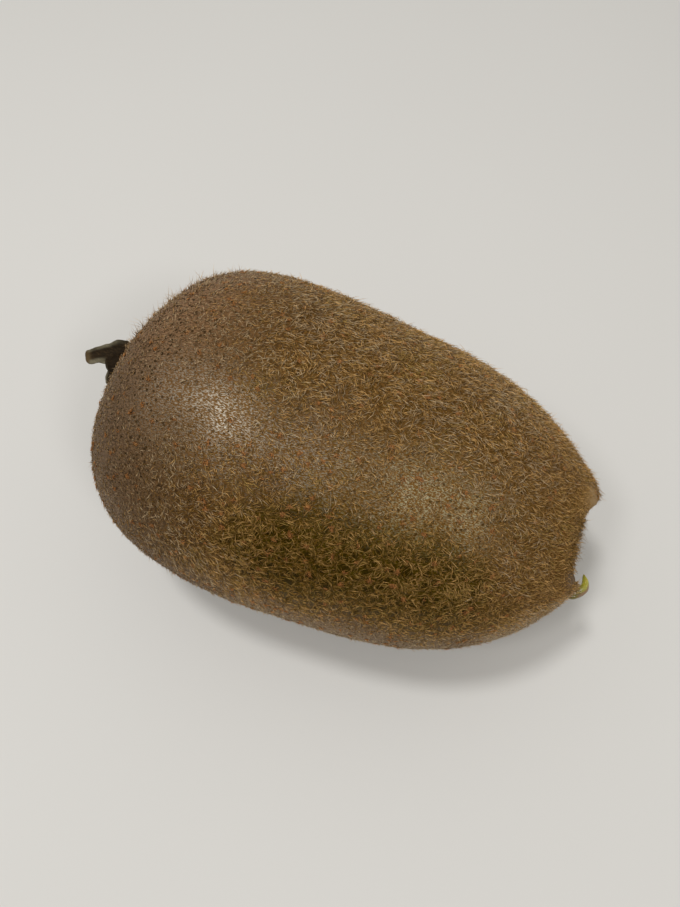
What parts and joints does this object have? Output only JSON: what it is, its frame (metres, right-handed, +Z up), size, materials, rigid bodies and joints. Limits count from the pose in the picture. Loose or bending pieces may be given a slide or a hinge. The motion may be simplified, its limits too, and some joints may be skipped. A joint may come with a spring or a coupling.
{
  "type": "kiwi fruit",
  "caption": "Large fuzzy brown kiwi fruit lying on its side, with a dried calyx at the stem end and its blossom end torn off.",
  "frame": {"origin": "on the table, under the middle of the whole object's box", "axes": "+X along the fruit from the stem end to the torn blossom end, +Z up"},
  "size_m": [0.0868, 0.051, 0.0488],
  "materials": {
    "skin": "matt, fuzzy",
    "calyx": "dry, matt",
    "flesh": "moist"
  },
  "bodies": {
    "root": {"fruit": "skin", "dry_calyx": "calyx", "flesh_shred": "flesh"}
  },
  "joints": []
}
